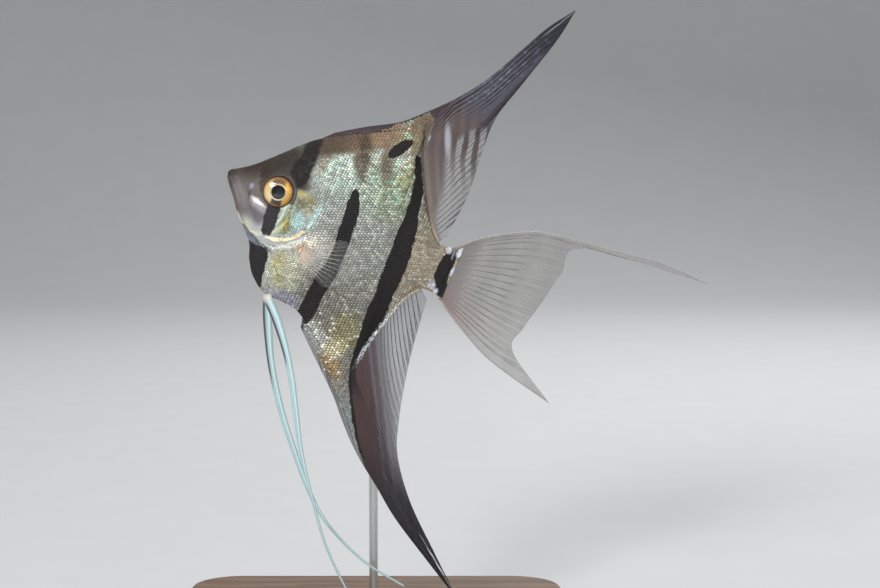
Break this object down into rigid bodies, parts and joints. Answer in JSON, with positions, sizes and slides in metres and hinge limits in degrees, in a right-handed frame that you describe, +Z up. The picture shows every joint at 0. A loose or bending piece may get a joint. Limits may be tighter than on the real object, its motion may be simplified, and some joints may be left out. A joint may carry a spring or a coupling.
{
  "type": "freshwater angelfish",
  "caption": "Tall, flat striped fish with long swept dorsal, anal and pelvic fins, as a life-size display model on a rod and a wooden base.",
  "frame": {"origin": "centre of the stand base's flat underside", "axes": "+Z up, +X from the fish's head to its tail, +Y from the fish's left side to its right side, away from the viewer"},
  "size_m": [0.1467, 0.088, 0.173],
  "materials": {
    "skin": "pearly scales, silver-grey with black bars",
    "eye": "polished, golden iris and black pupil",
    "fin_membrane": "thin rayed membrane, satin",
    "feeler": "pale blue, satin",
    "stand_wood": "dark stained, satin varnish",
    "stand_steel": "brushed"
  },
  "bodies": {
    "root": {"head": "skin", "lower_jaw": "skin", "gill_cover_left": "skin", "gill_cover_right": "skin", "trunk": "skin", "tail_stalk": "skin", "eye_left": "eye", "eye_right": "eye", "dorsal_fin": "fin_membrane", "anal_fin": "fin_membrane", "tail_fin": "fin_membrane", "pectoral_fin_left": "fin_membrane", "pectoral_fin_right": "fin_membrane", "pelvic_fin_left": "feeler", "pelvic_fin_right": "feeler", "stand_base": "stand_wood", "stand_rod": "stand_steel"}
  },
  "joints": []
}
